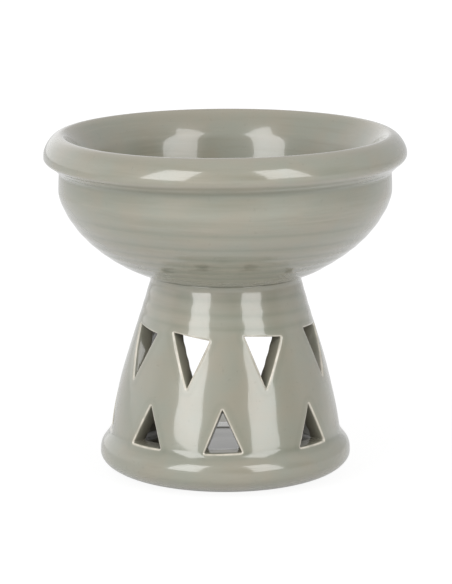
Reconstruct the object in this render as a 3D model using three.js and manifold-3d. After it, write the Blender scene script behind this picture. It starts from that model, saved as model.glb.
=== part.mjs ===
// An oil burner in glazed stoneware: a deep bowl with a rolled rim on a pierced, flared stand.
// Millimetres, +Z up. The origin is on the table under the middle of the foot, and the front
// faces -Y. A tealight goes in through the arch at the back and stands on the candle floor.
import * as THREE from 'three';
import { mergeVertices } from 'three/addons/utils/BufferGeometryUtils.js';
import Module from 'manifold-3d';

const wasm = await Module();
wasm.setup();

// Whole burner
const burnerHeight = 124;
const jointHeight = 72.7; // where the bowl sits on the stand
const rimRadius = 65;
const neckRadius = 27.2;
const footRadius = 45.2;

// Bowl: the wall, the rolled rim and the groove under it
const bowlWall = 9.2; // under the roll, where it is thickest
const bowlWallDrop = 4; // groove to that place
const bowlFloorThickness = 6;
const bowlFloorRadius = 10; // the flat middle of the inside
const rollDepth = 12.5; // crest to groove
const rollWidestDrop = 7.3; // crest to widest ring
const rollReach = 6; // crest out to the widest ring
const lipInset = 6.8; // crest in to the end of the sloping lip
const lipDrop = 8.7;
const grooveInset = 5.5; // widest ring in to the groove
const shoulderDrop = 8.3; // groove to the widest ring of the wall
const shoulderSwell = 0.4; // how far the wall stands out past the groove

// Stand: a thrown cone with a rounded foot
const standWall = 5.6;
const neckStraight = 2.2; // the upright stretch under the bowl
const footHeight = 14.5; // up to the crease between foot and cone
const footInset = 3.2; // widest ring of the foot in to the crease
const footWidestHeight = 7.7;
const contactWidth = 3; // the flat ring that stands on the table
const contactOuterRadius = 33;

// Candle floor: a disc on a ledge inside the foot
const floorRecess = 3; // the hollow under the disc
const floorThickness = 3.8;
const floorClearance = 0.3; // round the disc's edge

// Cutouts, as widths and heights on the outside of the cone
const upperCutWidth = 15.3;
const upperCutHeight = 17.2;
const upperCutBelowJoint = 17.3; // joint to the level top edge
const lowerCutWidth = 13.6;
const lowerCutHeight = 15.2;
const lowerCutAboveFoot = 1.4; // crease to the level bottom edge
const archWidth = 45;
const archBelowJoint = 17.7; // joint to the crown of the arch
const archSillRise = 0.4; // candle floor's top up to the sill

// Each cut is a little out, because it was made by hand: its turn round the stand in degrees,
// 0 at the front and growing to the right, how far its tip leans over, and how far one end of
// its level edge drops.
const upperCuts = [
  { turn: -108.5, lean: 1, drop: 1 },
  { turn: -63.5, lean: 1.4, drop: 1.2 },
  { turn: -23.5, lean: 1.6, drop: 2 },
  { turn: 25, lean: -1.8, drop: 1.3 },
  { turn: 74.5, lean: -4, drop: 1.3 },
  { turn: 119, lean: -1, drop: 0.8 },
];
const lowerCuts = [
  { turn: -88, lean: 0.5, drop: 0 },
  { turn: -43, lean: 0, drop: 0.1 },
  { turn: -1, lean: -0.6, drop: -0.4 },
  { turn: 49, lean: 1, drop: -0.2 },
  { turn: 95, lean: -0.5, drop: 0.2 },
];

// Fineness of the round surfaces
const turnSteps = 72;
const curveSteps = 7;
const archSteps = 16;

const glaze = { color: 0xa3a296, roughness: 0.22, metalness: 0 };

// Outlines, as radius and height

function bowlOutline() {
  const crestRadius = rimRadius - rollReach;
  const widestHeight = burnerHeight - rollWidestDrop;
  const grooveHeight = burnerHeight - rollDepth;
  const grooveRadius = rimRadius - grooveInset;
  const shoulderHeight = grooveHeight - shoulderDrop;
  const shoulderRadius = grooveRadius + shoulderSwell;
  const wallHeight = shoulderHeight - jointHeight;
  const wallReach = shoulderRadius - neckRadius;
  const insideRadius = grooveRadius - bowlWall;
  const insideFloor = jointHeight + bowlFloorThickness;
  const insideTop = grooveHeight - bowlWallDrop;
  const insideDepth = insideTop - insideFloor;
  const insideReach = insideRadius - bowlFloorRadius;
  const lipRadius = crestRadius - lipInset;
  const lipHeight = burnerHeight - lipDrop;
  const throatReach = lipRadius - insideRadius;
  const throatDepth = lipHeight - insideTop;
  const lowerRoll = rollDepth - rollWidestDrop;
  const outline = new THREE.Path();
  outline.moveTo(0, jointHeight);
  outline.lineTo(neckRadius, jointHeight);
  outline.bezierCurveTo(
    neckRadius + 0.6 * wallReach, jointHeight + 0.175 * wallHeight,
    shoulderRadius - 0.03 * wallReach, jointHeight + 0.71 * wallHeight,
    shoulderRadius, shoulderHeight,
  );
  outline.quadraticCurveTo(
    shoulderRadius, shoulderHeight + shoulderDrop / 2,
    grooveRadius, grooveHeight,
  );
  outline.bezierCurveTo(
    rimRadius - 0.35 * grooveInset, grooveHeight + 0.12 * lowerRoll,
    rimRadius, grooveHeight + 0.3 * lowerRoll,
    rimRadius, widestHeight,
  );
  outline.bezierCurveTo(
    rimRadius, widestHeight + 0.4 * rollWidestDrop,
    crestRadius + 0.45 * rollReach, burnerHeight,
    crestRadius, burnerHeight,
  );
  outline.bezierCurveTo(
    crestRadius - 0.24 * lipInset, burnerHeight,
    lipRadius + 0.4 * lipInset, lipHeight + 0.59 * lipDrop,
    lipRadius, lipHeight,
  );
  outline.bezierCurveTo(
    lipRadius - 0.64 * throatReach, lipHeight - 0.3 * throatDepth,
    insideRadius + 0.24 * throatReach, insideTop + 0.41 * throatDepth,
    insideRadius, insideTop,
  );
  outline.bezierCurveTo(
    insideRadius - 0.055 * insideReach, insideTop - 0.555 * insideDepth,
    bowlFloorRadius + 0.72 * insideReach, insideFloor + 0.01 * insideDepth,
    bowlFloorRadius, insideFloor,
  );
  outline.lineTo(0, insideFloor);
  return outline.getPoints(curveSteps);
}

// The outside of the stand, from the table to the joint
function standOutside() {
  const creaseRadius = footRadius - footInset;
  const coneTop = jointHeight - neckStraight;
  const coneHeight = coneTop - footHeight;
  const coneReach = creaseRadius - neckRadius;
  const shoulderRise = footHeight - footWidestHeight;
  const outside = new THREE.Path();
  outside.moveTo(contactOuterRadius, 0);
  outside.bezierCurveTo(
    contactOuterRadius + 0.53 * (footRadius - contactOuterRadius), 0.16 * footWidestHeight,
    footRadius, 0.5 * footWidestHeight,
    footRadius, footWidestHeight,
  );
  outside.bezierCurveTo(
    footRadius, footWidestHeight + 0.9 * shoulderRise,
    creaseRadius + 0.5 * footInset, footHeight - 0.1 * shoulderRise,
    creaseRadius, footHeight,
  );
  outside.bezierCurveTo(
    creaseRadius - 0.345 * coneReach, footHeight + 0.51 * coneHeight,
    neckRadius + 0.44 * coneReach, coneTop - 0.415 * coneHeight,
    neckRadius, coneTop,
  );
  outside.lineTo(neckRadius, jointHeight);
  return outside.getPoints(curveSteps);
}

function standOutline() {
  const outside = standOutside();
  const inside = outside
    .filter((point) => point.y >= footHeight)
    .map((point) => new THREE.Vector2(point.x - standWall, point.y))
    .reverse();
  const seatRadius = footRadius - footInset - standWall;
  const contactInner = contactOuterRadius - contactWidth;
  return [
    ...outside,
    ...inside,
    new THREE.Vector2(seatRadius, floorRecess),
    new THREE.Vector2(contactInner, floorRecess),
    new THREE.Vector2(contactInner, 0),
    outside[0].clone(),
  ];
}

function floorOutline() {
  const discRadius = footRadius - footInset - standWall - floorClearance;
  const top = floorRecess + floorThickness;
  return [
    new THREE.Vector2(0, floorRecess),
    new THREE.Vector2(discRadius, floorRecess),
    new THREE.Vector2(discRadius, top),
    new THREE.Vector2(0, top),
  ];
}

// The outside radius of the stand at a height, which sizes and places the cuts
function standRadiusAt(height) {
  const points = standOutside();
  const above = points.findIndex((point) => point.y >= height && point.y > footWidestHeight);
  const low = points[above - 1];
  const high = points[above];
  return THREE.MathUtils.mapLinear(height, low.y, high.y, low.x, high.x);
}

// Geometry and solids

function turned(outline) {
  const geometry = new THREE.LatheGeometry(outline, turnSteps);
  geometry.rotateX(Math.PI / 2);
  return merged(geometry);
}

// Shared vertices become one, and the slivers that this leaves on the axis go
function merged(geometry) {
  geometry.deleteAttribute('normal');
  geometry.deleteAttribute('uv');
  const whole = mergeVertices(geometry);
  const index = whole.getIndex().array;
  const kept = [];
  for (let i = 0; i < index.length; i += 3) {
    const [a, b, c] = index.slice(i, i + 3);
    if (a !== b && b !== c && c !== a) kept.push(a, b, c);
  }
  whole.setIndex(kept);
  return whole;
}

function solid(geometry) {
  return new wasm.Manifold(new wasm.Mesh({
    numProp: 3,
    vertProperties: Float32Array.from(geometry.getAttribute('position').array),
    triVerts: Uint32Array.from(geometry.getIndex().array),
  }));
}

function geometryOf(body) {
  const cut = body.getMesh();
  const geometry = new THREE.BufferGeometry();
  geometry.setAttribute('position', new THREE.BufferAttribute(cut.vertProperties, 3));
  geometry.setIndex(new THREE.BufferAttribute(cut.triVerts, 1));
  return geometry;
}

// The level direction away from the axis at a turn
function outward(turn) {
  const angle = THREE.MathUtils.degToRad(turn);
  return new THREE.Vector3(Math.sin(angle), -Math.cos(angle), 0);
}

function onStand(radius, turn, height) {
  return outward(turn).multiplyScalar(radius).setZ(height);
}

// A three-sided plug between flat faces. Each face holds one straight edge of the cut, and the
// direction towards the axis at that edge's middle, as a knife blade does.
function knifeCut(corners, turn) {
  const points = corners.map((corner) => (
    onStand(standRadiusAt(corner.height), corner.turn, corner.height)
  ));
  const faces = points.map((point, i) => {
    const next = (i + 1) % points.length;
    const edge = points[next].clone().sub(point);
    return edge.cross(outward((corners[i].turn + corners[next].turn) / 2));
  });
  const ahead = outward(turn);
  const ends = [0.6 * (neckRadius - standWall), 1.2 * footRadius];
  const vertices = ends.flatMap((end) => points.flatMap((point, i) => {
    const before = (i + points.length - 1) % points.length;
    const ridge = faces[before].clone().cross(faces[i]);
    const reach = (end - point.dot(ahead)) / ridge.dot(ahead);
    return point.clone().addScaledVector(ridge, reach).toArray();
  }));
  const plug = new THREE.BufferGeometry();
  plug.setAttribute('position', new THREE.Float32BufferAttribute(vertices, 3));
  plug.setIndex([0, 1, 2, 3, 5, 4, 0, 3, 4, 0, 4, 1, 1, 4, 5, 1, 5, 2, 2, 5, 3, 2, 3, 0]);
  return solid(plug);
}

// Half the turn, in degrees, that a width takes on the stand at a height
function halfTurn(width, height) {
  return THREE.MathUtils.radToDeg(Math.asin(width / 2 / standRadiusAt(height)));
}

function upperCut({ turn, lean, drop }) {
  const top = jointHeight - upperCutBelowJoint;
  const half = halfTurn(upperCutWidth, top);
  return knifeCut([
    { turn: turn - half, height: top + drop / 2 },
    { turn: turn + half, height: top - drop / 2 },
    { turn: turn + lean, height: top - upperCutHeight },
  ], turn);
}

function lowerCut({ turn, lean, drop }) {
  const bottom = footHeight + lowerCutAboveFoot;
  const half = halfTurn(lowerCutWidth, bottom);
  return knifeCut([
    { turn: turn - half, height: bottom + drop / 2 },
    { turn: turn + lean, height: bottom + lowerCutHeight },
    { turn: turn + half, height: bottom - drop / 2 },
  ], turn);
}

// The arch that the tealight slides in through, cut straight through the back
function archCut() {
  const bottom = floorRecess + floorThickness + archSillRise;
  const crown = jointHeight - archBelowJoint;
  const half = archWidth / 2;
  const opening = new THREE.Shape();
  opening.moveTo(-half, bottom);
  opening.lineTo(half, bottom);
  opening.lineTo(half, crown - half);
  opening.absarc(0, crown - half, half, 0, Math.PI, false);
  opening.closePath();
  const depth = 1.3 * footRadius;
  const geometry = new THREE.ExtrudeGeometry(opening, {
    depth,
    bevelEnabled: false,
    curveSegments: archSteps,
  });
  geometry.rotateX(Math.PI / 2);
  geometry.translate(0, depth, 0);
  return solid(merged(geometry));
}

// The three pieces of clay

function piece(name, geometry) {
  const mesh = new THREE.Mesh(geometry, new THREE.MeshStandardMaterial(glaze));
  mesh.name = name;
  geometry.computeVertexNormals();
  return mesh;
}

function bowl() {
  return piece('bowl', turned(bowlOutline()));
}

function piercedStand() {
  const cuts = [...upperCuts.map(upperCut), ...lowerCuts.map(lowerCut), archCut()];
  const body = cuts.reduce((rest, cut) => rest.subtract(cut), solid(turned(standOutline())));
  return piece('pierced_stand', geometryOf(body));
}

function candleFloor() {
  return piece('candle_floor', turned(floorOutline()));
}

const burner = new THREE.Group();
burner.add(bowl(), piercedStand(), candleFloor());

export default burner;
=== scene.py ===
"""The looks of a glazed stoneware oil burner: a thrown bowl on a pierced stand with a candle floor.

Lengths are in millimetres, +Z up, in the frame of the model, and become metres when a mesh is
made. A turn is an angle round the axis in degrees, 0 at the front and growing to the right.
"""
import math

import bmesh
import bpy
import numpy as np
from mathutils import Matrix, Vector
from mathutils.geometry import delaunay_2d_cdt


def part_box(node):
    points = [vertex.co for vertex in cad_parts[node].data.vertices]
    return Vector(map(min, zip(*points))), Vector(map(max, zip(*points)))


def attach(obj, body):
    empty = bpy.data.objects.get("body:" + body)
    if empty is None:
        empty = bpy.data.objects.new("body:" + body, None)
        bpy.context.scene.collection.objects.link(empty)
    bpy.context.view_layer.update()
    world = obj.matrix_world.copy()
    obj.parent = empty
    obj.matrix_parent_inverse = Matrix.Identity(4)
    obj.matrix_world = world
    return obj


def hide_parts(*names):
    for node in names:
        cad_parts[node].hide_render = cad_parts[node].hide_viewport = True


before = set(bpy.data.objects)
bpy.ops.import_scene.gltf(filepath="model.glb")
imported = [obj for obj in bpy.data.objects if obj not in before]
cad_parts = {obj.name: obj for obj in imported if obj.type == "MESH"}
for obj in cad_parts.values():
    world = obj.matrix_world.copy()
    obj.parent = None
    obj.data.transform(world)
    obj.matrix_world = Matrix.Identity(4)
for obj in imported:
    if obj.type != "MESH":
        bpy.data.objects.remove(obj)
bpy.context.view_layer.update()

MM = 0.001

# Sizes that the solids give
bowl_low, bowl_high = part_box("bowl")
stand_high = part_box("pierced_stand")[1]
floor_low, floor_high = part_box("candle_floor")
TOP = bowl_high.z / MM
JOINT = bowl_low.z / MM
RIM = bowl_high.x / MM
FOOT = stand_high.x / MM
FLOOR_TOP = floor_high.z / MM
FLOOR_UNDER = floor_low.z / MM

# The bowl
NECK = 27.2
NECK_FILLET = 2.4
NECK_FILLET_RISE = 0.45
NECK_FILLET_LEAD = 1.3
BOWL_WALL = 9.2
BOWL_WALL_DROP = 4.0
BOWL_FLOOR = 6.0
FLAT_MIDDLE = 10.0
ROLL_DEPTH = 12.5
WIDEST_DROP = 7.3
ROLL_REACH = 6.0
LIP_INSET = 6.8
LIP_DROP = 8.7
GROOVE_INSET = 5.5
GROOVE_HEIGHT = TOP - ROLL_DEPTH
SHOULDER_DROP = 8.3
SHOULDER_SWELL = 0.25

# The stand
STAND_WALL = 5.6
NECK_STRAIGHT = 2.2
CREASE_HEIGHT = 14.5
CREASE_INSET = 3.2
CREASE_FILLET = 1.35
FOOT_WIDEST = 7.7
FOOT_SHOULDER_RISE = 4.4
FOOT_SHOULDER_INSET = 0.95
CONTACT_OUTER = 33.0
CONTACT_WIDTH = 3.0
CONTACT_EASE = 0.6
LEDGE = FOOT - CREASE_INSET - STAND_WALL

# The candle floor
FLOOR_GAP = 0.03
FLOOR_FILLET = 1.5
FILLET_AT_ARCH = 0.25

# The two handles of each long curve, as shares of the way across and of the way up
BELLY_HANDLES = (0.6, 0.175), (0.97, 0.71)
ROLL_HANDLES = (0, 0.4), (0.55, 1)
LIP_HANDLES = (0.24, 0), (0.6, 0.41)
THROAT_HANDLES = (0.274, 0.128), (0.54, 0.423)
WELL_HANDLES = (0.078, 0.555), (0.28, 0.99)
CONE_HANDLES = (0.345, 0.51), (0.56, 0.585)
FOOT_HANDLES = (0.53, 0.16), (1, 0.5)

# The bend in the groove under the roll, as points beside its deepest place
GROOVE_BEND = [(0.05, -1.7), (-0.05, -0.3), (1.4, 0.15), (2.4, 1.3)]
ROLL_BULGE = 3.1

# Handles of the short curves, as steps from the points that they belong to
OUT_OF_GROOVE = (0.85, 1.0)
OUT_OF_FOOT = (0, 2.0)
INTO_SHOULDER = (0.79, -1.22)
OUT_OF_SHOULDER = (-1.1, 1.5)
INTO_CREASE = (0.2, -1.1)

# The cutouts: sizes, then the turn, lean and drop of each, and how much taller one of them is
UPPER_WIDTH = 15.3
UPPER_HEIGHT = 17.2
UPPER_TOP = JOINT - 17.3
LOWER_WIDTH = 13.6
LOWER_HEIGHT = 15.2
LOWER_BOTTOM = CREASE_HEIGHT + 1.4
ARCH_WIDTH = 45.0
ARCH_CROWN = JOINT - 17.7
ARCH_SILL = FLOOR_TOP + 0.4
ARCH_CORNER_EASE = 2.5
ARCH_SPACING = 0.8
ARCH_HALF_ANGLE = 42
UPPER_CUTS = [
    (-108.5, 1, 1),
    (-63.5, 1.4, 1.2),
    (-23.5, 1.6, 2),
    (25, -1.8, 1.3),
    (74.5, -4, 1.3),
    (119, -1, 0.8),
]
LOWER_CUTS = [
    (-88, 0.5, 0),
    (-43, 0, 0.1),
    (-1, -0.6, -0.4, 0.8),
    (49, 1, -0.2),
    (95, -0.5, 0.2),
]

# How the cut edges were softened before firing, and how thick the glaze lies in the cuts
OUTER_SOFTENING = 0.75
INNER_SOFTENING = 0.5
EDGE_MARGIN = 0.4
CORNER_EASE = 0.6
OUTER_GLAZE = 0.1
INNER_GLAZE = 0.75

# Heights of the hollows that the fingers left while throwing, read at the front
BOWL_RINGS = [101.5, 96.0, 90.5, 86.3, 83.1, 80.2, 77.6, 74.5, 71.5]
STAND_RINGS = [73.2, 67.9, 62.8, 58.1, 53.5, 48.5]

# How deep or high the marks of the hand are
BOWL_RING_DEPTH = 0.06
WELL_RING_DEPTH = 0.045
STAND_RING_DEPTH = 0.035
CHAMBER_RING_DEPTH = 0.14
CHAMBER_RING_STEP = 4.3
WALL_UNEVENNESS = 0.07
FLOOR_UNEVENNESS = 0.06
FLOOR_WAVES_END = (20, 30)
ROLL_FULLNESS = 0.4
ROLL_FULLER_LEFT = (-10, 55)
ROLL_SAG = 0.3
CUT_SINK = 0.05
RIM_TILT = 0.28
BELLY_LIFT = 0.25
FRONT_LEFT_DIP = 0.65
FRONT_RIGHT_LIFT = 0.18
NECK_OFFSET = 0.2
NECK_FLARE = 0.25
RIM_ROOM = 0.07

# Slow waves in a hand-thrown wall: size, count round it, climb and shift of each
WALL_WAVES = [
    (0.45, 3, 0.11, 0.6),
    (0.3, 5, -0.19, 2.1),
    (0.25, 9, 0.33, 4.0),
    (0.2, 14, -0.41, 1.3),
]

# Waves in the softened edge of a cut: size, count round it, and shift from cut to cut
EDGE_WAVES = [(0.14, 2, 1), (0.1, 5, 2.3)]

# Heights between which each mark of the hand begins or ends
BOWL_RINGS_START = (JOINT + 0.8, JOINT + 3)
BOWL_RINGS_END = (95, 103)
BOWL_WAVES_START = (JOINT + 0.5, JOINT + 4)
BOWL_DENTS_START = (JOINT, JOINT + 0.5)
WELL_RINGS_END = (96, 108)
WELL_RINGS_TOP = 113
WELL_RINGS_CLIMB = 0.8
STAND_RINGS_START = (53, 59)
STAND_RINGS_END = (JOINT - 1.5, JOINT)
STAND_WAVES_START = (1, 5)
STAND_WAVES_END = (JOINT - 3, JOINT)
CHAMBER_RINGS_START = (12, 18)
CHAMBER_RINGS_END = (JOINT - 4, JOINT)
CUT_SINK_END = (60, 66)
LEAN_START = (JOINT, JOINT + 5)
LEAN_TAKEN_BACK = (92, 108)
FRONT_OF_RIM = (100, 112)
OFFSET_START = (30, 55)
OFFSET_END = (JOINT, JOINT + 8)
BOWL_FLARE_END = (JOINT, JOINT + 5)
STAND_FLARE_RISE = 1.8

# The middle and width of single swellings
ROLL_FULLEST = (GROOVE_HEIGHT + 3.4, 1.6)
BELLY_LIFTED = (JOINT + 7, 6)
CUT_SUNK = (0, 2.6)

# Distances from the axis between which a mark begins
WELL_RINGS_RADIUS = (4, 12)
BOWL_DENTS_RADIUS = (5, 25)
NECK_EDGE_RADIUS = (NECK - 2, NECK - 0.1)

# Shares of the stand's wall, 0 inside and 1 outside, at which a cut's painted shade and pale edge
# change
PAINTED_CUT_SHADE_START = (0, 0.08)
PAINTED_CUT_SHADE_END = (0.87, 0.955)
PAINTED_CUT_SHADE_LOSS = 0.7
CUT_EDGE_START = (0.75, 0.9)
CHAMBER_WALL_END = (0, 0.1)

# The front edge of the left lower cut, seen almost from its side, keeps more of its glaze
SIDE_CUT_EDGE = (-79, 8)
SIDE_CUT_EDGE_LOSS = 0.75
LOWER_CUTS_END = 32

# Where glaze pools, thins and breaks on an edge, and where shade and light are painted: strength,
# middle and width of each soft band
BELLY_POOLS_AND_SHADE = [
    (0.75, GROOVE_HEIGHT - 0.4, 1.5),
    (0.35, GROOVE_HEIGHT - 4, 2.5),
    # Pooled glaze and painted shade in the crease at the joint, then painted shade low on the belly
    (0.3, JOINT + 0.6, 1.0),
    (0.3, JOINT + 5, 5),
]
WELL_POOLS = [(0.5, 0, 16)]
# Thinner glaze and painted light from above on the crest of the rim
CREST_THINS_AND_LIGHT = [(0.6, TOP, 1.3)]
# A lighter band on the underside of the roll
ROLL_LIGHTER_BAND = [(0.5, GROOVE_HEIGHT + 3.3, 0.7)]
# The band at the joint is pooled glaze and painted shade
STAND_POOLS_AND_SHADE = [(0.6, CREASE_HEIGHT + 0.9, 1.3), (0.25, JOINT, 1.2)]
CUT_POOLS = [(0.25, 2.2, 0.9)]
CUT_EDGES = [(1.0, 0.31, 0.21)]

# How much the rings pool and thin the glaze, and how much painted shade darkens the chamber and its
# floor
BOWL_HOLLOW_POOL = 0.5
BOWL_RIDGE_THIN = 0.16
STAND_HOLLOW_POOL = 0.4
STAND_RIDGE_THIN = 0.18
PAINTED_CHAMBER_SHADE = 0.75
PAINTED_FLOOR_SHADE = 0.7
PAINTED_FLOOR_SIDE_SHADE = 0.3
FLOOR_POOL = 0.35
FLOOR_EDGE_POOL = 0.4
FLOOR_SIDES = (9, 18)
FOOT_STREAKS = 0.15
RING_STREAKS = 0.6
BARE_FOOT_HEIGHT = 0.45

# Fineness of the meshes
COLUMNS = 320
SEAM_TURN = -131.0
TURNS = SEAM_TURN + 360 * np.arange(COLUMNS) / COLUMNS
FINE = 0.62
COARSE = 1.0
CUT_SIDE_STEPS = 24
CUT_CORNER_STEPS = 7
ARCH_CROWN_STEPS = 88
SOFTENING_ANGLES = np.radians([0, 18, 36, 54, 72, 90])
CUT_DEPTHS = (0.2, 0.4, 0.6, 0.8)
HALVINGS = 44
CELL_CLEARANCE = 0.42
BATCH = 2000
JOINT_TOLERANCE = 0.02

# How far from the axis the lines of the knife start and end
KNIFE_FROM = 1.04 * FOOT
KNIFE_TO = 0.85 * (NECK - STAND_WALL)
ARCH_FROM = 1.3 * FOOT
ARCH_TO = 0.1 * FOOT


# Curves, as rows of radius and height

def curve(points, steps=48):
    """A Bezier curve through its end points, with one or two handles between them."""
    points = np.array(points, float)
    t = np.linspace(0, 1, steps)[:, None]
    degree = len(points) - 1
    return sum(
        math.comb(degree, i) * (1 - t) ** (degree - i) * t**i * points[i]
        for i in range(degree + 1)
    )


def bent(start, end, handles, steps=48):
    """A Bezier curve whose handles are shares of the way across and of the way up."""
    way = np.subtract(end, start)
    return curve([start, *(start + share * way for share in handles), end], steps)


def spaced(points, spacing):
    """The same line with even steps of about the spacing."""
    points = np.array(points, float)
    run = np.concatenate([[0], np.cumsum(np.linalg.norm(np.diff(points, axis=0), axis=1))])
    count = max(2, int(round(run[-1] / spacing)) + 1)
    at = np.linspace(0, run[-1], count)
    return np.stack([np.interp(at, run, points[:, k]) for k in (0, 1)], axis=1)


def joined(*stretches):
    """Stretches that follow each other, as one line with no doubled points."""
    return np.vstack([stretches[0], *(stretch[1:] for stretch in stretches[1:])])


def bowl_outline():
    """From the middle of the joint up the outside, over the roll and down to the middle inside."""
    crest = RIM - ROLL_REACH
    widest = TOP - WIDEST_DROP
    groove = RIM - GROOVE_INSET
    shoulder = groove + SHOULDER_SWELL
    shoulder_z = GROOVE_HEIGHT - SHOULDER_DROP
    lip = (crest - LIP_INSET, TOP - LIP_DROP)
    inside = (groove - BOWL_WALL, GROOVE_HEIGHT - BOWL_WALL_DROP)
    flat = (FLAT_MIDDLE, JOINT + BOWL_FLOOR)
    in_groove = np.add(GROOVE_BEND, (groove, GROOVE_HEIGHT))
    wall = bent((NECK, JOINT), (shoulder, shoulder_z), BELLY_HANDLES, 200)
    wall = wall[wall[:, 0] > NECK + NECK_FILLET]
    slope = wall[1] - wall[0]
    slope /= np.linalg.norm(slope)
    fillet = curve([
        (NECK, JOINT),
        (NECK, JOINT + NECK_FILLET_RISE),
        wall[0] - slope * NECK_FILLET_LEAD,
        wall[0],
    ], 12)
    return joined(
        spaced([(0, JOINT), (NECK, JOINT)], 1.6),
        spaced(fillet, 0.3),
        spaced(wall, FINE),
        spaced(curve([
            (shoulder, shoulder_z),
            (shoulder, shoulder_z + SHOULDER_DROP / 2),
            in_groove[0],
        ]), FINE),
        spaced(curve(in_groove), 0.35),
        spaced(curve([
            in_groove[-1],
            in_groove[-1] + OUT_OF_GROOVE,
            (RIM, GROOVE_HEIGHT + ROLL_BULGE),
            (RIM, widest),
        ]), 0.42),
        spaced(bent((RIM, widest), (crest, TOP), ROLL_HANDLES), 0.5),
        spaced(bent((crest, TOP), lip, LIP_HANDLES), 0.55),
        spaced(bent(lip, inside, THROAT_HANDLES), 0.6),
        spaced(bent(inside, flat, WELL_HANDLES), 0.8),
        spaced([flat, (0, flat[1])], 0.9),
    )


def stand_cone(steps):
    """From the crease above the foot up to the straight stretch at the neck."""
    crease = (FOOT - CREASE_INSET, CREASE_HEIGHT)
    return bent(crease, (NECK, JOINT - NECK_STRAIGHT), CONE_HANDLES, steps)


def stand_outside():
    """From the table up to the joint."""
    cone = stand_cone(400)
    cone = cone[cone[:, 1] > CREASE_HEIGHT + CREASE_FILLET]
    foot = np.array([FOOT, FOOT_WIDEST])
    shoulder = foot + (-FOOT_SHOULDER_INSET, FOOT_SHOULDER_RISE)
    return joined(
        spaced(bent((CONTACT_OUTER, 0), foot, FOOT_HANDLES), FINE),
        spaced(curve([foot, foot + OUT_OF_FOOT, shoulder + INTO_SHOULDER, shoulder]), 0.45),
        spaced(curve([
            shoulder,
            shoulder + OUT_OF_SHOULDER,
            cone[0] + INTO_CREASE,
            cone[0],
        ]), 0.45),
        spaced(cone, FINE),
        spaced([(NECK, JOINT - NECK_STRAIGHT), (NECK, JOINT)], FINE),
    )


def stand_inside():
    """From the joint down to the ledge that carries the candle floor."""
    neck = NECK - STAND_WALL
    return joined(
        spaced([(neck, JOINT), (neck, JOINT - NECK_STRAIGHT)], COARSE),
        spaced(stand_cone(120)[::-1] - (STAND_WALL, 0), COARSE),
        spaced([(LEDGE, CREASE_HEIGHT), (LEDGE, FLOOR_UNDER)], COARSE),
    )


OUTSIDE = stand_outside()
INSIDE = stand_inside()


def stand_outline():
    """The closed outline: up the outside, down the inside, and back under the foot."""
    contact_inner = CONTACT_OUTER - CONTACT_WIDTH
    return joined(
        OUTSIDE,
        spaced([(NECK, JOINT), (NECK - STAND_WALL, JOINT)], COARSE),
        INSIDE,
        spaced([(LEDGE, FLOOR_UNDER), (contact_inner, FLOOR_UNDER)], COARSE),
        spaced([(contact_inner, FLOOR_UNDER), (contact_inner, CONTACT_EASE / 2)], COARSE),
        spaced(curve([
            (contact_inner, CONTACT_EASE / 2),
            (contact_inner, 0),
            (contact_inner + CONTACT_EASE, 0),
        ], 8), 0.3),
        spaced([(contact_inner + CONTACT_EASE, 0), (CONTACT_OUTER, 0)], COARSE),
    )[:-1]


def floor_outline():
    """From the middle underneath, round the edge and back to the middle on top."""
    edge = LEDGE - FLOOR_GAP
    flat = edge - FLOOR_FILLET
    return joined(
        spaced([(0, FLOOR_UNDER), (edge, FLOOR_UNDER)], 2),
        spaced([(edge, FLOOR_UNDER), (edge, FLOOR_TOP)], 1),
        spaced([(edge, FLOOR_TOP), (flat, FLOOR_TOP)], 0.2),
        spaced([(flat, FLOOR_TOP), (0, FLOOR_TOP)], 1),
    )


def outer_radius(height):
    return np.interp(height, OUTSIDE[:, 1], OUTSIDE[:, 0])


def inner_radius(height):
    return np.interp(height, INSIDE[::-1, 1], INSIDE[::-1, 0])


# Small formulas

def ease(x, low, high):
    """0 below low, 1 above high, smooth between them."""
    t = np.clip((np.asarray(x, float) - low) / (high - low), 0, 1)
    return t * t * (3 - 2 * t)


def hump(x, middle, width):
    """1 in the middle, falling away on both sides."""
    return np.exp(-(((x - middle) / width) ** 2))


def bands(x, rows):
    """The sum of soft bands, each with its strength, middle and width."""
    return sum(strength * hump(x, middle, width) for strength, middle, width in rows)


def outward(turn):
    angle = math.radians(turn)
    return np.array([math.sin(angle), -math.cos(angle), 0.0])


def distance_from_axis(points):
    return np.hypot(points[:, 0], points[:, 1])


def turn_of(points):
    """The turn of each point, counted on from the seam."""
    turn = np.degrees(np.arctan2(points[:, 0], -points[:, 1]))
    return (turn - SEAM_TURN) % 360 + SEAM_TURN


def placed(radius, turn, height):
    angle = np.radians(turn)
    return np.stack([radius * np.sin(angle), -radius * np.cos(angle), height + 0 * angle], axis=-1)


def ring_wave(height, turn, rings):
    """-1 in each hollow and 1 on each ridge of a spiral that climbs one ring per turn."""
    order = np.arange(len(rings), dtype=float)
    phase = np.interp(height, rings[::-1], order[::-1])
    return -np.cos(2 * np.pi * (phase - turn / 360))


def unevenness(turn, height):
    """How far a hand-thrown wall stands out or in."""
    around = np.radians(turn)
    return WALL_UNEVENNESS * sum(
        size * np.sin(count * around + climb * height + shift)
        for size, count, climb, shift in WALL_WAVES
    )


# Making meshes

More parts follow.
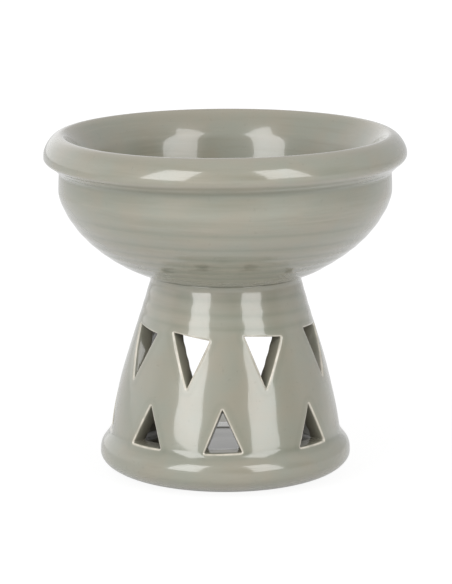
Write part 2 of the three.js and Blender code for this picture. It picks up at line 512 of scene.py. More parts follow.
def mesh_object(name, points, faces, attributes, materials, face_material=None):
    """A closed piece from points in millimetres, smooth but for its face at the joint."""
    points = np.asarray(points)
    mesh = bpy.data.meshes.new(name)
    mesh.from_pydata((points * MM).tolist(), [], faces)
    for label, values in attributes.items():
        layer = mesh.attributes.new(label, "FLOAT", "POINT")
        layer.data.foreach_set("value", np.asarray(values, np.float32))
    for material in materials:
        mesh.materials.append(material)
    if face_material is not None:
        mesh.polygons.foreach_set("material_index", np.asarray(face_material, np.int32))
    shape = bmesh.new()
    shape.from_mesh(mesh)
    bmesh.ops.recalc_face_normals(shape, faces=shape.faces)
    shape.to_mesh(mesh)
    shape.free()
    at_joint = np.abs(points[:, 2] - JOINT) < JOINT_TOLERANCE
    mesh.polygons.foreach_set("use_smooth", [not at_joint[list(face)].all() for face in faces])
    mesh.update()
    piece = bpy.data.objects.new(name, mesh)
    bpy.context.scene.collection.objects.link(piece)
    return piece


def ring_faces(first, second, count):
    """Four-sided faces between two rings of points, given the number of each ring's first point."""
    return [
        (first + j, first + (j + 1) % count, second + (j + 1) % count, second + j)
        for j in range(count)
    ]


def turned(outline):
    """Points and faces of an outline that starts and ends on the axis, turned round it."""
    rings = outline[1:-1]
    points = [np.array([[0, 0, outline[0, 1]]])]
    points += [placed(np.full(COLUMNS, r), TURNS, z) for r, z in rings]
    points += [np.array([[0, 0, outline[-1, 1]]])]
    faces = []
    for i in range(len(rings) - 1):
        faces += ring_faces(1 + i * COLUMNS, 1 + (i + 1) * COLUMNS, COLUMNS)
    last = 1 + len(rings) * COLUMNS
    end = last - COLUMNS
    for j in range(COLUMNS):
        k = (j + 1) % COLUMNS
        faces.append((0, 1 + k, 1 + j))
        faces.append((last, end + j, end + k))
    return np.vstack(points), faces


# The cutouts of the stand

def rounded_corner_weights(sides):
    """A three-cornered loop as shares of its corners, with each corner eased."""
    loop = []
    eye = np.eye(3)
    for i in range(3):
        before, after = (i + 2) % 3, (i + 1) % 3
        back = CORNER_EASE / sides[before]
        on = CORNER_EASE / sides[i]
        start = (1 - back) * eye[i] + back * eye[before]
        end = (1 - on) * eye[i] + on * eye[after]
        for t in np.linspace(0, 1, CUT_CORNER_STEPS):
            loop.append((1 - t) ** 2 * start + 2 * t * (1 - t) * eye[i] + t * t * end)
        stop = (1 - on) * eye[after] + on * eye[i]
        for t in np.linspace(0, 1, CUT_SIDE_STEPS + 2)[1:-1]:
            loop.append((1 - t) * end + t * stop)
    return np.array(loop)


def shrunk(triangle, inset):
    """The triangle with each side moved in by the inset."""
    sides = np.linalg.norm(np.roll(triangle, -1, axis=0) - triangle, axis=1)
    opposite = np.roll(sides, -1)
    centre = opposite @ triangle / sides.sum()
    half = sides.sum() / 2
    inner_circle = math.sqrt(np.prod(half - sides) / half)
    return centre + (triangle - centre) * (1 - inset / inner_circle)


def knife_lines(corners, turn):
    """The far and near ends of the lines that the knife swept, one for each point of the loop.

    The glaze makes the cut smaller, more so towards the inside.
    """
    points = [
        placed(outer_radius(height), corner_turn, height) for corner_turn, height in corners
    ]
    normals = []
    sides = []
    for i in range(3):
        after = (i + 1) % 3
        side = points[after] - points[i]
        middle = (corners[i][0] + corners[after][0]) / 2
        normals.append(np.cross(side, outward(middle)))
        sides.append(np.linalg.norm(side))
    ahead = outward(turn)
    surface = sum(point @ ahead for point in points) / 3
    weights = rounded_corner_weights(sides)
    ends = []
    for reach in (KNIFE_FROM, KNIFE_TO):
        row = []
        for i in range(3):
            ridge = np.cross(normals[i - 1], normals[i])
            row.append(points[i] + ridge * ((reach - points[i] @ ahead) / (ridge @ ahead)))
        share = (surface - reach) / STAND_WALL
        inset = OUTER_GLAZE + (INNER_GLAZE - OUTER_GLAZE) * share
        ends.append(weights @ shrunk(np.array(row), inset))
    return ends


def half_turn(width, height):
    """Half the angle that a width takes up on the outside of the stand."""
    return math.degrees(math.asin(width / 2 / outer_radius(height)))


def upper_lines(turn, lean, drop):
    half = half_turn(UPPER_WIDTH, UPPER_TOP)
    return knife_lines([
        (turn - half, UPPER_TOP + drop / 2),
        (turn + half, UPPER_TOP - drop / 2),
        (turn + lean, UPPER_TOP - UPPER_HEIGHT),
    ], turn)


def lower_lines(turn, lean, drop, taller=0):
    half = half_turn(LOWER_WIDTH, LOWER_BOTTOM)
    return knife_lines([
        (turn - half, LOWER_BOTTOM + drop / 2),
        (turn + lean, LOWER_BOTTOM + LOWER_HEIGHT + taller),
        (turn + half, LOWER_BOTTOM - drop / 2),
    ], turn)


def arch_lines():
    """The arch is cut straight through the back. Its sill is level with the candle floor."""
    half = ARCH_WIDTH / 2
    middle = ARCH_CROWN - half
    low = ARCH_SILL
    eased = ARCH_CORNER_EASE
    sill = spaced([(half - eased, low), (eased - half, low)], ARCH_SPACING)
    left = curve([(eased - half, low), (-half, low), (-half, low + eased)], 9)
    right = curve([(half, low + eased), (half, low), (half - eased, low)], 9)
    rise = spaced([(-half, low + eased), (-half, middle)], ARCH_SPACING)
    angles = np.linspace(math.pi, 0, ARCH_CROWN_STEPS)
    crown = np.stack([half * np.cos(angles), middle + half * np.sin(angles)], axis=1)
    fall = spaced([(half, middle), (half, low + eased)], ARCH_SPACING)
    loop = joined(sill, left, rise, crown, fall, right)[:-1]
    return [
        np.stack([loop[:, 0], np.full(len(loop), back), loop[:, 1]], axis=1)
        for back in (ARCH_FROM, ARCH_TO)
    ]


def where_it_meets(far, near, radius_at):
    """The point on each line where its distance from the axis is the surface's radius there."""
    low = np.zeros(len(far))
    high = np.ones(len(far))
    for _ in range(HALVINGS):
        middle = (low + high) / 2
        point = far + (near - far) * middle[:, None]
        outside = distance_from_axis(point) > radius_at(point[:, 2])
        low = np.where(outside, middle, low)
        high = np.where(outside, high, middle)
    return far + (near - far) * high[:, None]


class Skin:
    """The closed outline of the stand turned round its axis: a grid of columns and rows."""

    def __init__(self):
        self.outline = stand_outline()
        self.closed = np.vstack([self.outline, self.outline[:1]])
        steps = np.linalg.norm(np.diff(self.closed, axis=0), axis=1)
        self.run = np.concatenate([[0], np.cumsum(steps)])
        self.rows = len(self.outline)
        self.outside_run = self.run[:len(OUTSIDE)]
        start = len(OUTSIDE)
        while not np.allclose(self.outline[start], INSIDE[0]):
            start += 1
        self.inside_run = self.run[start:start + len(INSIDE)]

    def run_at(self, height, inside):
        if inside:
            return np.interp(height, INSIDE[::-1, 1], self.inside_run[::-1])
        return np.interp(height, OUTSIDE[:, 1], self.outside_run)

    def radius(self, run):
        return np.interp(run, self.run, self.closed[:, 0])

    def point(self, turn, run):
        return placed(self.radius(run), turn, np.interp(run, self.run, self.closed[:, 1]))

    def cell(self, turn, run):
        """The place in the grid, in columns and rows."""
        across = (turn - SEAM_TURN) * COLUMNS / 360
        return np.stack([across, np.interp(run, self.run, np.arange(self.rows + 1.0))], axis=1)


class Shell:
    """Points and faces that grow ring by ring."""

    def __init__(self):
        self.points = []
        self.faces = []
        self.total = 0

    def add_ring(self, ring):
        """Adds a ring of points and gives the number of its first one."""
        start = self.total
        self.points.append(ring)
        self.total += len(ring)
        return start


def widened(turn, run, radius, distance):
    """A loop on the skin, moved away from its hole by a distance along the skin."""
    across = np.radians(np.roll(turn, -1) - np.roll(turn, 1)) * radius
    along = np.roll(run, -1) - np.roll(run, 1)
    x = np.radians(turn - turn.mean()) * radius
    y = run - run.mean()
    side = 1 if np.sum(x * along - y * across) > 0 else -1
    length = np.hypot(across, along)
    new_turn = turn + np.degrees(side * along / length * distance / radius)
    new_run = run - side * across / length * distance
    return new_turn, new_run


def inside_polygon(points, polygon):
    """Which points lie inside: those from which a line to the side crosses the edge an odd time."""
    x, y = points[:, 0], points[:, 1]
    found = np.zeros(len(points), bool)
    x1, y1 = polygon[:, 0], polygon[:, 1]
    x2, y2 = np.roll(x1, -1), np.roll(y1, -1)
    for a, b, c, d in zip(x1, y1, x2, y2):
        if b != d:
            found ^= ((b > y) != (d > y)) & (x < (c - a) * (y - b) / (d - b) + a)
    return found


def distance_to_loop(points, polygon):
    step = np.roll(polygon, -1, axis=0) - polygon
    offset = points[:, None, :] - polygon[None]
    share = np.clip((offset * step).sum(2) / (step * step).sum(1), 0, 1)
    gap = offset - share[..., None] * step
    return np.sqrt((gap * gap).sum(2)).min(1)


def opened_cells(polygon):
    """The cells of the grid that a hole takes, with no two of them touching only at a corner."""
    low = np.floor(polygon.min(0)).astype(int) - 2
    high = np.ceil(polygon.max(0)).astype(int) + 2
    columns = np.arange(low[0], high[0] + 1)
    lines = np.arange(low[1], high[1] + 1)
    grid = np.stack(np.meshgrid(columns, lines, indexing="ij"), axis=-1)
    flat = grid.reshape(-1, 2).astype(float)
    taken = inside_polygon(flat, polygon)
    taken |= distance_to_loop(flat, polygon) < CELL_CLEARANCE
    taken = taken.reshape(len(columns), len(lines))
    cells = taken[:-1, :-1] | taken[1:, :-1] | taken[:-1, 1:] | taken[1:, 1:]
    dense = np.vstack([
        polygon + (np.roll(polygon, -1, axis=0) - polygon) * t for t in np.linspace(0, 1, 9)
    ])
    index = np.floor(dense).astype(int) - low
    cells[index[:, 0], index[:, 1]] = True
    changed = True
    while changed:
        changed = False
        a, b = cells[:-1, :-1], cells[1:, :-1]
        c, d = cells[:-1, 1:], cells[1:, 1:]
        pinched = (a & d & ~b & ~c) | (b & c & ~a & ~d)
        for i, j in np.argwhere(pinched):
            cells[i:i + 2, j:j + 2] = True
            changed = True
    return {(low[0] + i, low[1] + j) for i, j in np.argwhere(cells)}


def border_of(cells):
    """The grid points round a patch of cells, in order."""
    onward = {}
    for i, j in cells:
        if (i, j - 1) not in cells:
            onward[(i, j)] = (i + 1, j)
        if (i + 1, j) not in cells:
            onward[(i + 1, j)] = (i + 1, j + 1)
        if (i, j + 1) not in cells:
            onward[(i + 1, j + 1)] = (i, j + 1)
        if (i - 1, j) not in cells:
            onward[(i, j + 1)] = (i, j)
    first = next(iter(onward))
    loop = [first]
    while onward[loop[-1]] != first:
        loop.append(onward[loop[-1]])
    return loop


def strip_between(polygon, border, polygon_start, border_ids):
    """Triangles between a hole's loop and the grid points round it."""
    border_points = np.array(border, float)
    count = len(polygon)
    flat = [Vector(p) for p in np.vstack([polygon, border_points])]
    edges = [(i, (i + 1) % count) for i in range(count)]
    edges += [(count + i, count + (i + 1) % len(border)) for i in range(len(border))]
    made, _, triangles, origin, _, _ = delaunay_2d_cdt(flat, edges, [], 0, 1e-7)
    assert len(made) == len(flat)
    ids = []
    for sources in origin:
        first = sources[0]
        ids.append(polygon_start + first if first < count else border_ids[first - count])
    middles = np.array([
        [sum(made[v][k] for v in triangle) / 3 for k in (0, 1)] for triangle in triangles
    ])
    kept = inside_polygon(middles, border_points) & ~inside_polygon(middles, polygon)
    return [tuple(ids[v] for v in t) for t, keep in zip(triangles, kept) if keep]


def add_cut_end(shell, skin, opened, number, lines, inside):
    """Softens one end of a cut and sews it into the skin.

    Gives the edge of the cut, the ring of points where its wall begins, and that ring's number.
    """
    far, near = lines
    edge = where_it_meets(far, near, inner_radius if inside else outer_radius)
    inwards = near - far
    inwards /= np.linalg.norm(inwards, axis=1)[:, None]
    direction = -inwards if inside else inwards
    turn = turn_of(edge)
    run = skin.run_at(edge[:, 2], inside)
    radius = skin.radius(run)
    around = 2 * np.pi * np.arange(len(edge)) / len(edge)
    waves = sum(size * np.sin(count * around + shift * number) for size, count, shift in EDGE_WAVES)
    soft = (INNER_SOFTENING if inside else OUTER_SOFTENING) * (1 + waves)
    rings = []
    for angle in SOFTENING_ANGLES:
        sunk = (soft * (1 - math.sin(angle)))[:, None] * direction
        rings.append(skin.point(*widened(turn, run, radius, soft * (1 - math.cos(angle)))) + sunk)
    wide_turn, wide_run = widened(turn, run, radius, soft + EDGE_MARGIN)
    rings.append(skin.point(wide_turn, wide_run))
    polygon = skin.cell(wide_turn, wide_run)
    starts = [shell.add_ring(ring) for ring in rings]
    for a, b in zip(starts[:-1], starts[1:]):
        shell.faces += ring_faces(a, b, len(edge))
    cells = opened_cells(polygon)
    opened |= cells
    border = border_of(cells)
    border_ids = [(j % skin.rows) * COLUMNS + i % COLUMNS for i, j in border]
    shell.faces += strip_between(polygon, border, starts[-1], border_ids)
    return edge, rings[0], starts[0]


def stand_shape():
    """Points and faces of the stand before the marks of throwing, and its cuts' outer edges."""
    skin = Skin()
    shell = Shell()
    for radius, height in skin.outline:
        shell.add_ring(placed(np.full(COLUMNS, radius), TURNS, height))
    opened = set()
    outer_edges = []
    cuts = [upper_lines(*cut) for cut in UPPER_CUTS]
    cuts += [lower_lines(*cut) for cut in LOWER_CUTS]
    cuts += [arch_lines()]
    for number, lines in enumerate(cuts):
        edge, outer, start = add_cut_end(shell, skin, opened, number, lines, False)
        _, inner, end = add_cut_end(shell, skin, opened, number, lines, True)
        outer_edges.append(edge)
        for share in CUT_DEPTHS:
            following = shell.add_ring(outer + (inner - outer) * share)
            shell.faces += ring_faces(start, following, len(edge))
            start = following
        shell.faces += ring_faces(start, end, len(edge))
    for j in range(skin.rows):
        row = ring_faces(j * COLUMNS, (j + 1) % skin.rows * COLUMNS, COLUMNS)
        shell.faces += [face for i, face in enumerate(row) if (i, j) not in opened]
    return np.vstack(shell.points), shell.faces, outer_edges


def distance_from_cuts(points, outer_edges):
    """The distance of each point from the nearest outer edge of a cutout."""
    samples = np.vstack(outer_edges)
    nearest = np.zeros(len(points))
    for start in range(0, len(points), BATCH):
        gap = points[start:start + BATCH, None, :] - samples[None]
        nearest[start:start + BATCH] = np.sqrt((gap * gap).sum(2)).min(1)
    return nearest


def without_loose_points(points, faces):
    used = np.zeros(len(points), bool)
    for face in faces:
        used[list(face)] = True
    number = np.cumsum(used) - 1
    return points[used], [tuple(int(number[v]) for v in face) for face in faces]


# Materials, with the colours of the glaze first

COOL = (0.302, 0.306, 0.250, 1)
WARM = (0.322, 0.303, 0.240, 1)
BROWN = (0.268, 0.256, 0.196, 1)
# Pooled glaze, also painted shade at the joint and under the belly
POOLED_AND_SHADED = (0.226, 0.236, 0.184, 1)
# Thin glaze, also used for painted light on the crest
THIN_AND_LIT = (0.378, 0.350, 0.284, 1)
SPECK = (0.16, 0.15, 0.12, 1)
# Painted shade for the faces of the cuts, the chamber and the candle floor
PAINTED_SHADE = (0.14, 0.13, 0.10, 1)
CREAM = (0.74, 0.69, 0.59, 1)
DARK_CLAY = (0.52, 0.45, 0.34, 1)
LIGHT_CLAY = (0.66, 0.60, 0.48, 1)
WHITE = (1, 1, 1, 1)


class Graph:
    """The nodes of a material or of the world, with short ways to add more."""

    def __init__(self, owner):
        owner.use_nodes = True
        self.nodes = owner.node_tree.nodes
        self.links = owner.node_tree.links

    def feed(self, socket, value):
        """Links a socket to another node's output, or sets it to a plain value."""
        if isinstance(value, bpy.types.NodeSocket):
            self.links.new(value, socket)
        else:
            socket.default_value = value

    def add(self, kind, inputs=None, **settings):
        """A new node, with its settings and then its inputs, by name or by number."""
        made = self.nodes.new("ShaderNode" + kind)
        for name, value in settings.items():
            setattr(made, name, value)
        for key, value in (inputs or {}).items():
            self.feed(made.inputs[key], value)
        return made

    def noise(self, place, scale, detail, roughness=0.5):
        made = self.add("TexNoise", {
            "Vector": place,
            "Scale": scale,
            "Detail": detail,
            "Roughness": roughness,
        })
        return made.outputs["Fac"]

    def between(self, value, low, high, at_low=0.0, at_high=1.0, kind="LINEAR"):
        """A value that goes from one number at low to another at high, and stays there beyond."""
        made = self.add("MapRange", {
            "Value": value,
            "From Min": low,
            "From Max": high,
            "To Min": at_low,
            "To Max": at_high,
        }, interpolation_type=kind)
        return made.outputs["Result"]

    def smoothly_between(self, value, low, high, at_low=0.0, at_high=1.0):
        return self.between(value, low, high, at_low, at_high, "SMOOTHSTEP")

    def mixed(self, share, first, second, kind="RGBA"):
        made = self.add("Mix", {"Factor": share, "A": first, "B": second}, data_type=kind)
        return made.outputs["Result"]

    def worked_out(self, operation, first, second):
        return self.add("Math", {0: first, 1: second}, operation=operation).outputs["Value"]

    def stored(self, label):
        """The values that a mesh keeps for its points under a label."""
        return self.add("Attribute", attribute_name=label).outputs["Fac"]

    def seen_by(self, *kinds):
        """1 for a ray of one of the kinds, and 0 for any other."""
        path = self.add("LightPath")
        total = path.outputs[kinds[0]]
        for kind in kinds[1:]:
            total = self.worked_out("MAXIMUM", total, path.outputs[kind])
        return total

    def roughen(self, shader, height, strength, distance):
        made = self.add("Bump", {"Height": height, "Strength": strength, "Distance": distance})
        self.feed(shader.inputs["Normal"], made.outputs["Normal"])


def glaze_material(name, coat):
    material = bpy.data.materials.new(name)
    graph = Graph(material)
    shader = graph.nodes["Principled BSDF"]
    shader.inputs["IOR"].default_value = 1.5
    shader.inputs["Coat Weight"].default_value = coat
    shader.inputs["Coat Roughness"].default_value = 0.045
    shader.inputs["Coat IOR"].default_value = 1.5
    place = graph.add("TexCoord").outputs["Object"]
    along_rings = graph.add("Mapping", {"Vector": place, "Scale": (1, 1, 16)}).outputs["Vector"]
    streaked = graph.stored("streak")

    def streaks(scale, low, high, most):
        pattern = graph.noise(along_rings, scale, detail=4, roughness=0.6)
        amount = graph.between(pattern, low, high, 0.0, most)
        return graph.worked_out("MULTIPLY", amount, streaked)

    clouds = graph.between(graph.noise(place, scale=85, detail=3), 0.36, 0.64)
    specks = graph.between(graph.noise(place, scale=620, detail=2), 0.66, 0.76, 0.0, 0.15)
    uneven = graph.between(graph.noise(place, scale=300, detail=2), 0.3, 0.62, 0.55, 1.0)
    bare_edge = graph.worked_out("MULTIPLY", graph.stored("edge"), uneven)
    colour = graph.mixed(clouds, COOL, WARM)
    colour = graph.mixed(streaks(scale=22, low=0.5, high=0.72, most=0.6), colour, BROWN)
    colour = graph.mixed(streaks(scale=31, low=0.56, high=0.75, most=0.45), colour, THIN_AND_LIT)
    # Pooled glaze, and painted shade at the joint and under the belly
    colour = graph.mixed(graph.stored("pool_and_shade"), colour, POOLED_AND_SHADED)
    # Thinner glaze, and painted light on the crest of the rim
    colour = graph.mixed(graph.stored("thin_and_lit"), colour, THIN_AND_LIT)
    colour = graph.mixed(specks, colour, SPECK)
    # Painted shade in the cuts, the chamber and on the candle floor
    colour = graph.mixed(graph.stored("cut"), colour, PAINTED_SHADE)
    colour = graph.mixed(bare_edge, colour, CREAM)
    graph.feed(shader.inputs["Base Color"], colour)
    roughness = graph.between(graph.noise(place, scale=90, detail=2), 0.3, 0.7, 0.16, 0.24)
    graph.feed(shader.inputs["Roughness"], roughness)
    dimples = graph.noise(place, scale=420, detail=2)
    graph.roughen(shader, dimples, strength=0.24, distance=0.00004)
    return material


def bare_clay_material(name):
    material = bpy.data.materials.new(name)
    graph = Graph(material)
    shader = graph.nodes["Principled BSDF"]
    shader.inputs["Roughness"].default_value = 0.85
    grain = graph.noise(graph.add("TexCoord").outputs["Object"], scale=900, detail=4)
    graph.feed(shader.inputs["Base Color"], graph.mixed(grain, DARK_CLAY, LIGHT_CLAY))
    graph.roughen(shader, grain, strength=0.5, distance=0.0001)
    return material


# The three pieces

def tilted(points):
    """The bowl leans a little: it is lower on the left and higher on the right."""
    across = points[:, 0] / RIM
    height = points[:, 2]
    rise = RIM_TILT * across + BELLY_LIFT * hump(height, *BELLY_LIFTED)
    rise *= ease(height, *LEAN_START)
    rise -= RIM_TILT * ease(height, *LEAN_TAKEN_BACK)
    in_front = np.clip(-points[:, 1] / RIM, 0, 1) * ease(height, *FRONT_OF_RIM)
    right = np.clip(across, 0, 0.6)
    rise += in_front * np.where(across < 0, FRONT_LEFT_DIP * across, FRONT_RIGHT_LIFT * right)
    points = points.copy()
    points[:, 2] += rise
    return points


def set_aside(points):
    """The neck was thrown a little to the right of the foot."""
    height = points[:, 2]
    points = points.copy()
    points[:, 0] += NECK_OFFSET * ease(height, *OFFSET_START) * (1 - ease(height, *OFFSET_END))
    return points


def shifted_out(points, amount):
    """The points moved away from the axis by an amount each."""
    radius = distance_from_axis(points)
    share = np.where(radius > 1e-6, amount / np.maximum(radius, 1e-6), 0)
    moved = points.copy()
    moved[:, 0] += points[:, 0] * share
    moved[:, 1] += points[:, 1] * share
    return moved


def make_bowl(glaze):
    outline = bowl_outline()
    points, faces = turned(outline)
    radius = distance_from_axis(points)
    height = points[:, 2].copy()
    turn = turn_of(points)
    last = len(outline) - 1
    row = np.concatenate([[0], np.repeat(np.arange(1, last), COLUMNS), [last]])
    outside = (row > 0) & (row < np.argmax(outline[:, 0]))
    inside = row >= np.argmax(outline[:, 1])

    wave = ring_wave(height, turn, BOWL_RINGS)
    strength = ease(height, *BOWL_RINGS_START) * (1 - ease(height, *BOWL_RINGS_END))
    well_height = WELL_RINGS_TOP - (FOOT - radius) * WELL_RINGS_CLIMB
    well_wave = ring_wave(well_height, turn, BOWL_RINGS)
    well_strength = ease(radius, *WELL_RINGS_RADIUS) * (1 - ease(height, *WELL_RINGS_END))
    ripple = np.where(inside, well_wave * well_strength * WELL_RING_DEPTH, 0)
    ripple = np.where(outside, wave * strength * BOWL_RING_DEPTH, ripple)
    slow = unevenness(turn, height) * ease(height, *BOWL_WAVES_START) - WALL_UNEVENNESS
    slow *= ease(radius, *BOWL_DENTS_RADIUS) * ease(height, *BOWL_DENTS_START)
    fuller = ROLL_FULLNESS * hump(height, *ROLL_FULLEST) * outside
    fuller *= ease(-points[:, 0], *ROLL_FULLER_LEFT)
    flare = NECK_FLARE * (1 - ease(height, *BOWL_FLARE_END)) * ease(radius, *NECK_EDGE_RADIUS)
    room_left = RIM - RIM_ROOM - radius
    points = shifted_out(points, np.minimum(ripple + slow + fuller + flare, room_left))
    points[:, 2] -= ROLL_SAG * fuller
    points = set_aside(tilted(points))

    in_hollows = np.clip(-wave, 0, 1) ** 3 * strength
    on_ridges = np.clip(wave, 0, 1) * strength
    # Pooled glaze in the groove and hollows, with painted shade at the joint and low on the belly
    pool_and_shade = (bands(height, BELLY_POOLS_AND_SHADE) + BOWL_HOLLOW_POOL * in_hollows) * outside
    pool_and_shade += bands(radius, WELL_POOLS) * inside
    thin_and_lit = (bands(height, ROLL_LIGHTER_BAND) + BOWL_RIDGE_THIN * on_ridges) * outside
    # Thinner glaze and painted light on the crest
    thin_and_lit += bands(height, CREST_THINS_AND_LIGHT)
    attributes = {
        "pool_and_shade": np.clip(pool_and_shade, 0, 1),
        "thin_and_lit": np.clip(thin_and_lit, 0, 1),
        "streak": np.ones(len(points)),
    }
    return mesh_object("glazed_bowl", points, faces, attributes, [glaze])


def make_stand(glaze, clay):
    points, faces, outer_edges = stand_shape()
    points, faces = without_loose_points(points, faces)
    radius = distance_from_axis(points)
    height = points[:, 2].copy()
    turn = turn_of(points)
    gap = distance_from_cuts(points, outer_edges)
    wall = outer_radius(height) - inner_radius(height)
    outness = np.clip((radius - inner_radius(height)) / np.maximum(wall, 1), 0, 1)
    outness = np.where(height < FLOOR_UNDER, 1, outness)

    wave = ring_wave(height, turn, STAND_RINGS)
    strength = ease(height, *STAND_RINGS_START) * (1 - ease(height, *STAND_RINGS_END))
    ripple = STAND_RING_DEPTH * wave * strength
    ripple -= CUT_SINK * hump(gap, *CUT_SUNK) * (1 - ease(height, *CUT_SINK_END))
    slow = unevenness(turn, height) - WALL_UNEVENNESS
    slow *= ease(height, *STAND_WAVES_START) * (1 - ease(height, *STAND_WAVES_END))
    flare = NECK_FLARE * np.clip((height - JOINT) / STAND_FLARE_RISE + 1, 0, 1) ** 2
    chamber = CHAMBER_RING_DEPTH * np.sin(2 * np.pi * (height / CHAMBER_RING_STEP - turn / 360))
    chamber *= ease(height, *CHAMBER_RINGS_START) * (1 - ease(height, *CHAMBER_RINGS_END))
    points = shifted_out(points, (ripple + slow + flare) * outness + chamber * (1 - outness))
    points = set_aside(points)

    edge = bands(gap, CUT_EDGES) * ease(outness, *CUT_EDGE_START)
    edge *= 1 - SIDE_CUT_EDGE_LOSS * hump(turn, *SIDE_CUT_EDGE) * (height < LOWER_CUTS_END)
    # Painted shade on the faces of the cuts, darker deeper into the wall, and on the chamber wall
    cut = ease(outness, *PAINTED_CUT_SHADE_START) * (1 - ease(outness, *PAINTED_CUT_SHADE_END))
    cut *= 1 - PAINTED_CUT_SHADE_LOSS * outness
    cut *= (np.abs(turn - 180) > ARCH_HALF_ANGLE) & (height > CREASE_HEIGHT) & (height < JOINT - 5)
    chamber_wall = (1 - ease(outness, *CHAMBER_WALL_END)) * (height > FLOOR_TOP)
    in_hollows = np.clip(-wave, 0, 1) ** 2 * strength
    on_ridges = np.clip(wave, 0, 1) * strength
    # Pooled glaze, with painted shade at the joint
    pool_and_shade = bands(height, STAND_POOLS_AND_SHADE) + bands(gap, CUT_POOLS) + STAND_HOLLOW_POOL * in_hollows
    attributes = {
        "pool_and_shade": np.clip(pool_and_shade * outness, 0, 1),
        "thin_and_lit": STAND_RIDGE_THIN * on_ridges * outness,
        "edge": np.clip(edge, 0, 1),
        "cut": np.maximum(cut, PAINTED_CHAMBER_SHADE * chamber_wall),
        "streak": FOOT_STREAKS + RING_STREAKS * strength,
    }
    under = []
    for face in faces:
        highest = points[list(face), 2].max()
        widest = radius[list(face)].max()
        in_recess = highest < FLOOR_UNDER + 0.05 and widest < LEDGE + 0.1
        under.append(int(highest < BARE_FOOT_HEIGHT or in_recess))
    return mesh_object("glazed_stand", points, faces, attributes, [glaze, clay], under)


def make_floor(glaze, clay):
    points, faces = turned(floor_outline())
    radius = distance_from_axis(points)
    beside_arch = ease(np.abs(turn_of(points) - 180), ARCH_HALF_ANGLE - 4, ARCH_HALF_ANGLE + 3)
    on_top = points[:, 2] > FLOOR_TOP - 0.01
    flat = LEDGE - FLOOR_GAP - FLOOR_FILLET
    climb = np.clip((radius - flat) / FLOOR_FILLET, 0, 1)
    aside = np.abs(points[:, 0])
    fillet = FLOOR_FILLET * (1 - np.sqrt(np.clip(1 - climb**2, 0, 1)))
    slow = np.sin(0.19 * points[:, 0] + 1) + np.sin(0.16 * points[:, 1]) - 2
    slow *= FLOOR_UNEVENNESS * (1 - ease(radius, *FLOOR_WAVES_END))
    fillet *= FILLET_AT_ARCH + (1 - FILLET_AT_ARCH) * beside_arch
    points[:, 2] += np.where(on_top, fillet + slow, 0)
    # The top of the candle floor: pooled glaze at its edge, and painted shade, darker towards its
    # sides
    attributes = {
        "pool_and_shade": (FLOOR_POOL + FLOOR_EDGE_POOL * climb) * on_top,
        "cut": (PAINTED_FLOOR_SHADE + PAINTED_FLOOR_SIDE_SHADE * ease(aside, *FLOOR_SIDES)) * on_top,
    }
    under = [int(points[list(face), 2].max() < FLOOR_UNDER + 0.05) for face in faces]
    return mesh_object("glazed_candle_floor", points, faces, attributes, [glaze, clay], under)


glaze = glaze_material("grey_green_glaze", 1.0)
floor_glaze = glaze_material("thin_grey_green_glaze", 0.55)
clay = bare_clay_material("bare_clay")
pieces = [
    (make_bowl(glaze), "bowl"),
    (make_stand(glaze, clay), "pierced_stand"),
    (make_floor(floor_glaze, clay), "candle_floor"),
]
for piece, node in pieces:
    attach(piece, "root")
    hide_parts(node)


# The photograph's camera, in metres

CAMERA_BACK = 1.248
CAMERA_HEIGHT = 0.312
CAMERA_SIDE = 0.00025
CAMERA_PITCH = math.radians(11.167)
LENS = 217.94
SENSOR = 36

camera_data = bpy.data.cameras.new("camera")
camera_data.lens = LENS
camera_data.sensor_width = SENSOR
camera = bpy.data.objects.new("camera", camera_data)
camera.location = (CAMERA_SIDE, -CAMERA_BACK, CAMERA_HEIGHT)
camera.rotation_euler = (math.pi / 2 - CAMERA_PITCH, 0, 0)
bpy.context.scene.collection.objects.link(camera)
bpy.context.scene.camera = camera


# Two tall soft boxes, one on each side of the camera, in metres

LIGHT_DISTANCE = 1.2
LIGHT_LOW = 0.11
LIGHT_HIGH = 1.52


def soft_box(name, first_turn, last_turn, lean, radiance):
    half = math.radians(last_turn - first_turn) / 2
    middle = (first_turn + last_turn) / 2
    data = bpy.data.lights.new(name, "AREA")
    data.shape = "RECTANGLE"
    data.size = 2 * LIGHT_DISTANCE * math.tan(half)
    data.size_y = LIGHT_HIGH - LIGHT_LOW
    data.energy = radiance * math.pi * data.size * data.size_y
    light = bpy.data.objects.new(name, data)
    place = Vector(outward(middle)) * LIGHT_DISTANCE
    place.z = (LIGHT_LOW + LIGHT_HIGH) / 2
    light.location = place
    light.rotation_euler = (math.pi / 2, math.radians(lean), math.radians(middle))
    bpy.context.scene.collection.objects.link(light)


soft_box("soft_box_left", first_turn=-49.5, last_turn=-21.5, lean=6, radiance=3.75)
soft_box("soft_box_right", first_turn=23, last_turn=52, lean=-5, radiance=3.45)


# White surroundings, brighter behind and on the left, and plain white to the camera

ROOM_SIDES = 0.55
ROOM_TOP = 0.5
LEFT_OVER_RIGHT = 0.26
BACK_OVER_FRONT = 0.24
ROOM_SEEN_IN_GLAZE = 0.15

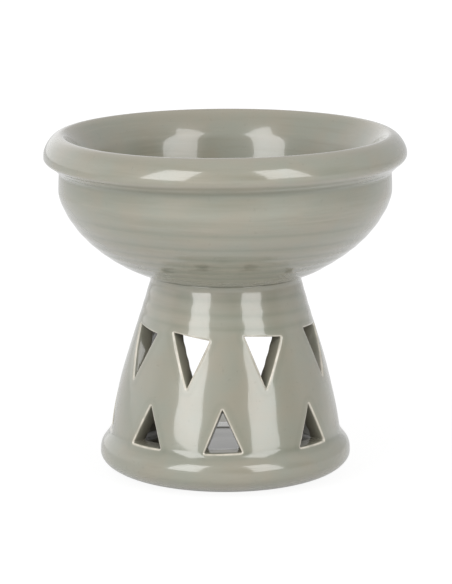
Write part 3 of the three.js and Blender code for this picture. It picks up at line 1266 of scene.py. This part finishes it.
world = bpy.data.worlds.new("studio")
bpy.context.scene.world = world
room = Graph(world)
room.nodes.clear()
sky = room.add("TexCoord").outputs["Generated"]
direction = room.add("SeparateXYZ", {"Vector": sky}).outputs
front = ROOM_SIDES - BACK_OVER_FRONT
back = ROOM_SIDES + BACK_OVER_FRONT
sides = room.worked_out(
    "ADD",
    room.smoothly_between(direction["X"], -0.3, 0.3, LEFT_OVER_RIGHT, -LEFT_OVER_RIGHT),
    room.smoothly_between(direction["Y"], -0.3, 0.1, front, back),
)
high_up = room.smoothly_between(direction["Z"], 0.35, 0.75)
in_glaze = room.worked_out("MULTIPLY", room.seen_by("Is Glossy Ray"), ROOM_SEEN_IN_GLAZE)
in_view = room.seen_by("Is Camera Ray", "Is Transmission Ray")
strength = room.mixed(high_up, sides, ROOM_TOP, "FLOAT")
strength = room.mixed(in_glaze, strength, 1.0, "FLOAT")
strength = room.mixed(in_view, strength, 1.0, "FLOAT")
background = room.add("Background", {"Color": WHITE, "Strength": strength})
room.add("OutputWorld", {"Surface": background.outputs["Background"]})


# A pale floor with a soft shadow behind the foot, partly a painted shadow, running out into the
# white

FLOOR_HALF = 4.0
FLOOR_SEEN_IN_GLAZE = 0.25
FLOOR_WHITE = 1.08
FLOOR_TONE = (0.86, 0.86, 0.86, 1)
# The colour of the painted shadow behind the foot
PAINTED_SHADOW_TONE = (0.50, 0.49, 0.45, 1)
SHADOW_CENTRE = (0, 0.052, 0)
SHADOW_NARROWING = 1.4
SHADOW_CORE = 0.03
SHADOW_REACH = 0.066
WHITE_NEAR = 0.06
WHITE_FAR = 0.3
WHITE_SHARE_NEAR = 0.85


def floor_material():
    material = bpy.data.materials.new("pale_floor")
    graph = Graph(material)
    graph.nodes.clear()
    place = graph.add("TexCoord").outputs["Object"]
    away = graph.add("VectorMath", {0: place}, operation="LENGTH").outputs["Value"]
    narrowed = graph.add("Mapping", {"Vector": place, "Scale": (SHADOW_NARROWING, 1, 1)})
    from_shadow = graph.add("VectorMath", {
        0: narrowed.outputs["Vector"],
        1: SHADOW_CENTRE,
    }, operation="DISTANCE").outputs["Value"]
    # Painted shadow: behind the foot the floor's colour darkens and its white gives way
    unshaded = graph.smoothly_between(from_shadow, SHADOW_CORE, SHADOW_REACH)
    paint = graph.add("BsdfDiffuse", {"Color": graph.mixed(unshaded, PAINTED_SHADOW_TONE, FLOOR_TONE)})
    white = graph.add("Emission", {"Strength": FLOOR_WHITE})
    in_glaze = graph.worked_out("MULTIPLY", graph.seen_by("Is Glossy Ray"), FLOOR_SEEN_IN_GLAZE)
    in_view = graph.seen_by("Is Camera Ray", "Is Transmission Ray")
    amount = graph.smoothly_between(away, WHITE_NEAR, WHITE_FAR, WHITE_SHARE_NEAR, 1.0)
    amount = graph.worked_out("MULTIPLY", amount, unshaded)
    seen = graph.worked_out("MAXIMUM", in_view, in_glaze)
    amount = graph.worked_out("MULTIPLY", amount, seen)
    blend = graph.add("MixShader", {
        "Fac": amount,
        1: paint.outputs["BSDF"],
        2: white.outputs["Emission"],
    })
    graph.add("OutputMaterial", {"Surface": blend.outputs["Shader"]})
    return material


table = bpy.data.meshes.new("floor")
table.from_pydata([
    (-FLOOR_HALF, -FLOOR_HALF, 0),
    (FLOOR_HALF, -FLOOR_HALF, 0),
    (FLOOR_HALF, FLOOR_HALF, 0),
    (-FLOOR_HALF, FLOOR_HALF, 0),
], [], [(0, 1, 2, 3)])
table.materials.append(floor_material())
floor = bpy.data.objects.new("floor", table)
bpy.context.scene.collection.objects.link(floor)

bpy.context.scene.view_settings.view_transform = "Standard"

bpy.context.view_layer.update()
